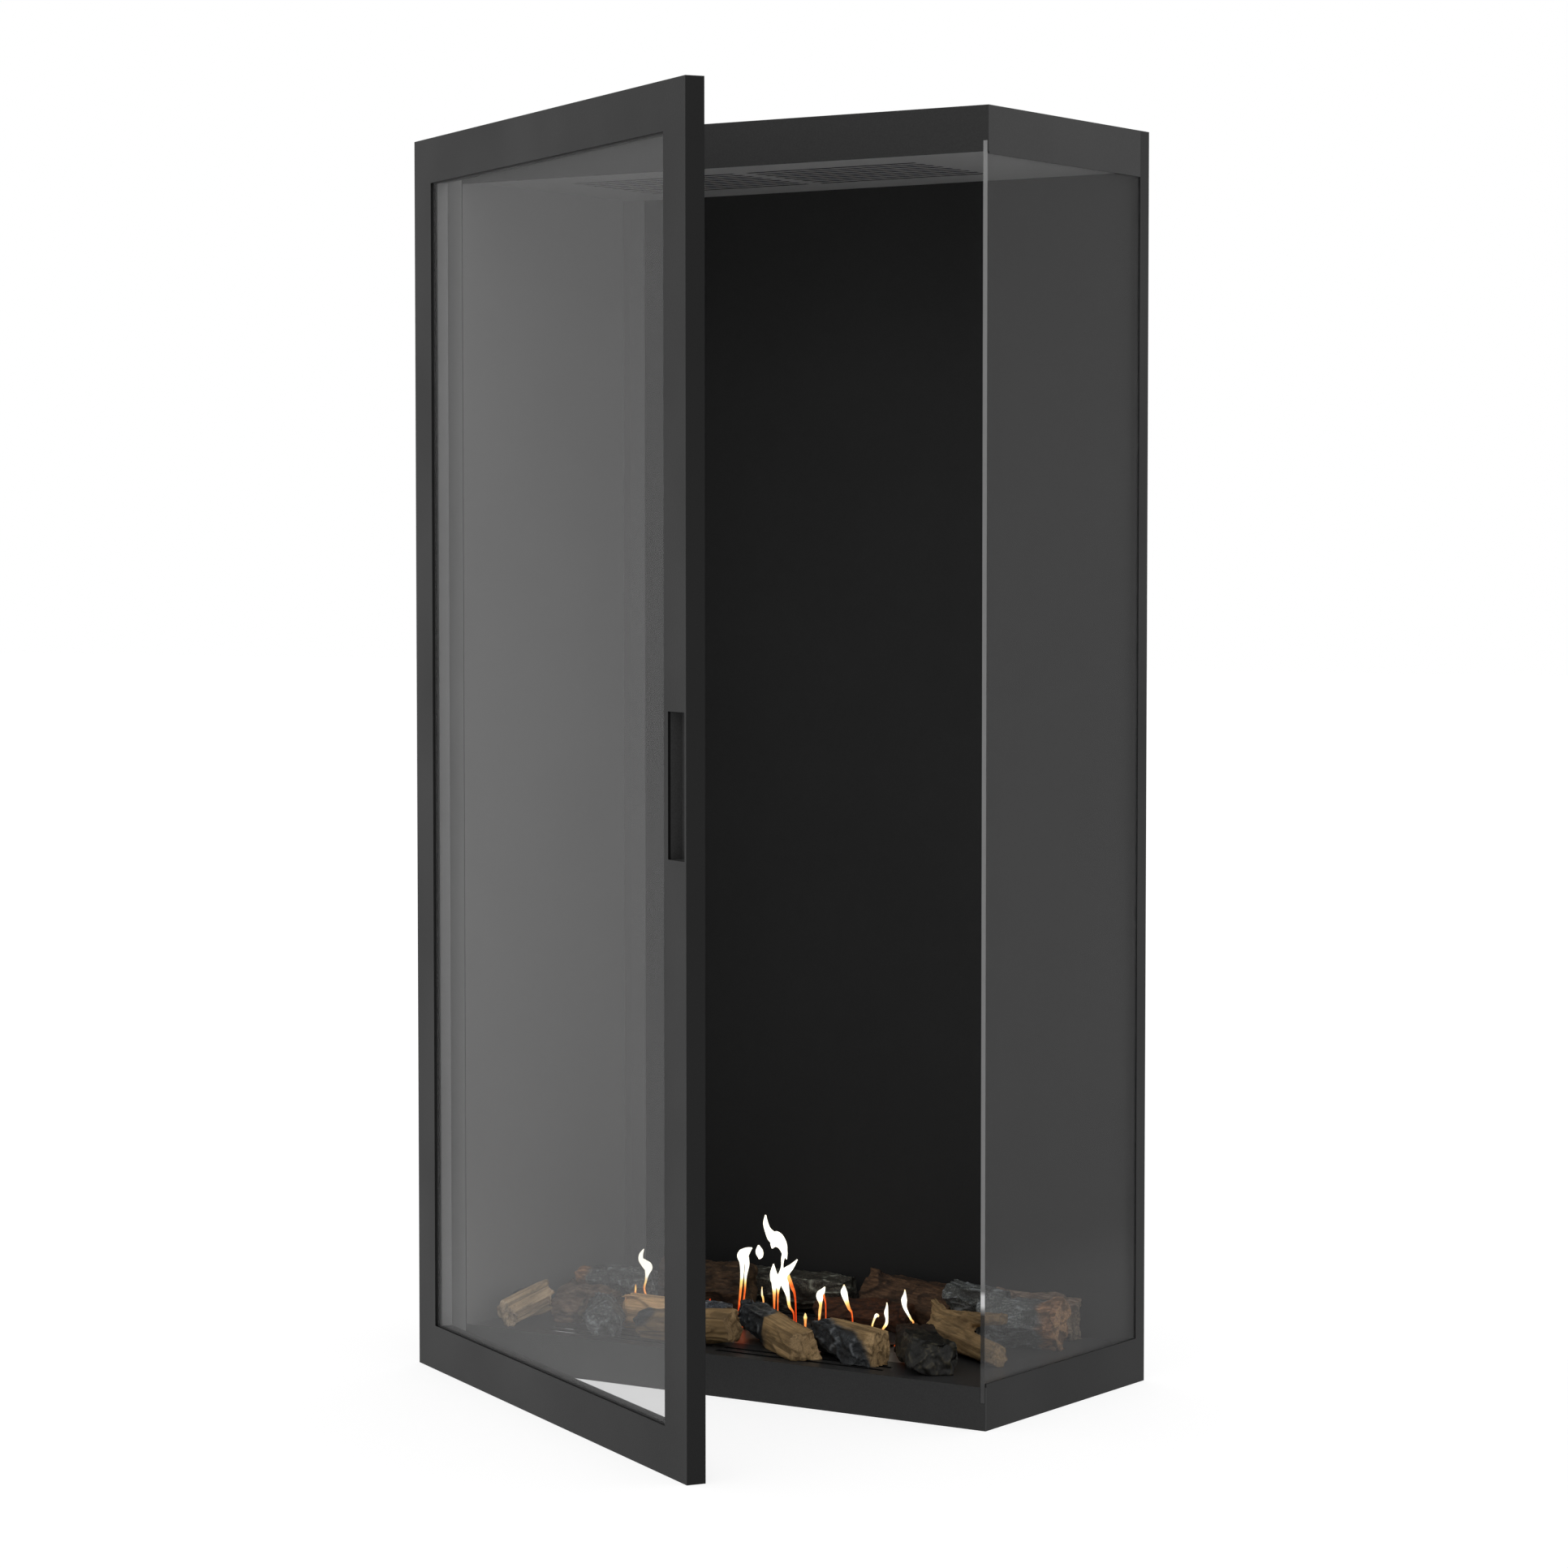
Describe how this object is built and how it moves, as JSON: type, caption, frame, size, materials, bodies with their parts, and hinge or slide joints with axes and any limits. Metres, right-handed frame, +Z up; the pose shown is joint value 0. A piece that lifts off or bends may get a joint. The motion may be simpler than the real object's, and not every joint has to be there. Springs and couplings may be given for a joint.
{
  "type": "bioethanol fireplace",
  "caption": "Tall built-in corner bioethanol fireplace: black steel cabinet with a glass right side, a hinged glass door, slotted floor and ceiling, a burner with a slider and loose logs.",
  "frame": {"origin": "middle of the cabinet's footprint, on the plane it stands on", "axes": "+X to the viewer's right when facing the door side, +Y to the rear wall, +Z up"},
  "size_m": [0.7575, 0.7505, 1.415],
  "materials": {
    "cabinet_paint": "matt black powder coat",
    "door_paint": "matt black powder coat",
    "liner_paint": "satin dark grey",
    "back_paint": "matt black",
    "ceiling_paint": "satin dark grey",
    "floor_paint": "satin black",
    "hinge_paint": "black",
    "side_glass": "clear, polished edges",
    "door_glass": "lightly tinted",
    "seal": "matt black",
    "burner_steel": "brushed",
    "fixing_steel": "plain",
    "wool": "white fibre",
    "magnet": "dark",
    "log_tan": "split, matt",
    "log_bark": "bark, matt",
    "log_charred": "charred, matt"
  },
  "bodies": {
    "cabinet": {"left_casing": "cabinet_paint", "rear_shell": "cabinet_paint", "top_plate": "cabinet_paint", "top_front_rail": "cabinet_paint", "top_side_trim": "cabinet_paint", "base_front_rail": "cabinet_paint", "base_side_trim": "cabinet_paint", "glass_rail_bottom": "cabinet_paint", "glass_rail_top": "cabinet_paint", "left_liner": "liner_paint", "corner_trim": "liner_paint", "back_panel": "back_paint", "ceiling_plate": "ceiling_paint", "floor_plate": "floor_paint", "side_glass": "side_glass", "glass_seals": "seal", "burner_tank": "burner_steel", "burner_cover": "burner_steel", "slider_guides": "burner_steel", "burner_wool": "wool", "tank_studs": "fixing_steel", "tank_nuts": "fixing_steel", "hinge_pins": "fixing_steel", "hinge_bracket_bottom": "hinge_paint", "hinge_bracket_top": "hinge_paint", "log_front_left": "log_tan", "log_left_wall": "log_charred", "log_left_red": "log_bark", "log_left_stub": "log_bark", "log_left_charred": "log_charred", "log_left_back": "log_charred", "log_middle_tan": "log_tan", "log_rear_brown": "log_bark", "log_rear_long": "log_bark", "log_front_tan": "log_tan", "log_centre_split": "log_tan", "log_centre_red": "log_bark", "log_right_split": "log_tan", "log_right_black": "log_charred", "log_rear_bark": "log_bark", "log_right_fork": "log_tan", "log_corner_bark": "log_bark", "log_right_charred": "log_charred", "log_upper_blue": "log_charred"},
    "door": {"hinge_block_bottom": "hinge_paint", "hinge_block_top": "hinge_paint", "door_stile_hinge": "door_paint", "door_stile_handle": "door_paint", "door_rail_bottom": "door_paint", "door_rail_top": "door_paint", "door_glass": "door_glass", "door_glass_seal": "seal", "door_bead_left": "door_paint", "door_bead_right": "door_paint", "door_bead_bottom": "door_paint", "door_bead_top": "door_paint", "finger_pull": "door_paint", "catch_magnets": "magnet"},
    "slider": {"burner_slider": "burner_steel"}
  },
  "joints": [
    {"name": "door_hinge", "type": "hinge", "parent": "cabinet", "child": "door", "pos_m": [-0.367, -0.185, 0.7075], "axis": [0, 0, -1], "range_deg": [-30.43, 69.57]},
    {"name": "burner_slider_slide", "type": "slide", "parent": "cabinet", "child": "slider", "axis": [0, -1, 0], "range_m": [0, 0.034]}
  ]
}
